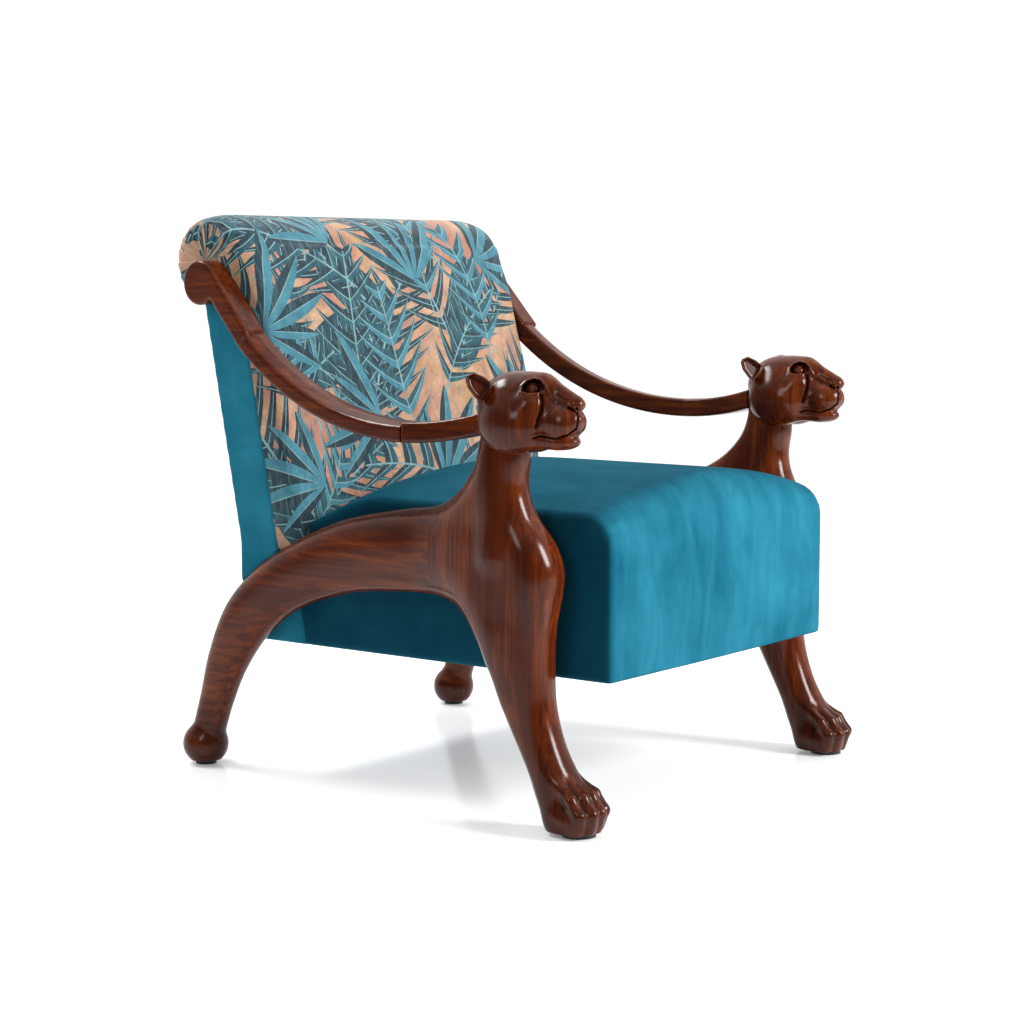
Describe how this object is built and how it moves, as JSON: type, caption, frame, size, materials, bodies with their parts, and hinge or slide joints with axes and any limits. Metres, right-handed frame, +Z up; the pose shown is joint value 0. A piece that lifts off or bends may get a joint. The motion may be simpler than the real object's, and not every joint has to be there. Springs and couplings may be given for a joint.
{
  "type": "armchair",
  "caption": "Upholstered armchair with carved panther sides, tail armrests, a deep box seat and a raked, rolled leaf-patterned back.",
  "frame": {"origin": "on the floor, under the middle of the chair's overall box", "axes": "+Z up; the chair faces -Y; +X is the sitter's left"},
  "size_m": [0.7692, 0.7805, 0.7916],
  "materials": {
    "carved_mahogany": "glossy varnish over dark mahogany",
    "frame_beech": "planed, unfinished",
    "teal_velvet": "short pile velvet",
    "leaf_jacquard": "woven jacquard with leaves",
    "foam": "upholstery foam",
    "webbing": "woven elastic webbing",
    "dust_cloth": "black non-woven cloth",
    "steel": "zinc plated",
    "brass": "plain",
    "glide": "black"
  },
  "bodies": {
    "root": {"left_panther_head": "carved_mahogany", "right_panther_head": "carved_mahogany", "left_foreleg_post": "carved_mahogany", "right_foreleg_post": "carved_mahogany", "left_haunch": "carved_mahogany", "right_haunch": "carved_mahogany", "left_arm_front": "carved_mahogany", "right_arm_front": "carved_mahogany", "left_arm_rail": "carved_mahogany", "right_arm_rail": "carved_mahogany", "left_arm_scroll": "carved_mahogany", "right_arm_scroll": "carved_mahogany", "left_seat_rail": "frame_beech", "right_seat_rail": "frame_beech", "left_back_post": "frame_beech", "right_back_post": "frame_beech", "left_back_wing": "frame_beech", "right_back_wing": "frame_beech", "seat_front_rail": "frame_beech", "back_lower_rail": "frame_beech", "lumbar_rail": "frame_beech", "roll_pole": "frame_beech", "corner_blocks": "frame_beech", "head_dowels": "frame_beech", "haunch_dowels": "frame_beech", "arm_dowels": "frame_beech", "frame_dowels": "frame_beech", "left_seat_side_cover": "teal_velvet", "right_seat_side_cover": "teal_velvet", "left_back_side_cover": "teal_velvet", "right_back_side_cover": "teal_velvet", "left_back_foot_cover": "teal_velvet", "right_back_foot_cover": "teal_velvet", "seat_cover": "teal_velvet", "outside_back_cover": "teal_velvet", "back_cover": "leaf_jacquard", "left_roll_end_cover": "leaf_jacquard", "right_roll_end_cover": "leaf_jacquard", "seat_foam": "foam", "back_foam": "foam", "roll_foam": "foam", "seat_straps_along": "webbing", "seat_straps_across": "webbing", "back_straps": "webbing", "dust_cover": "dust_cloth", "side_bolts": "steel", "side_washers": "steel", "arm_screws": "steel", "side_inserts": "brass", "front_glides": "glide", "hind_glides": "glide"}
  },
  "joints": []
}
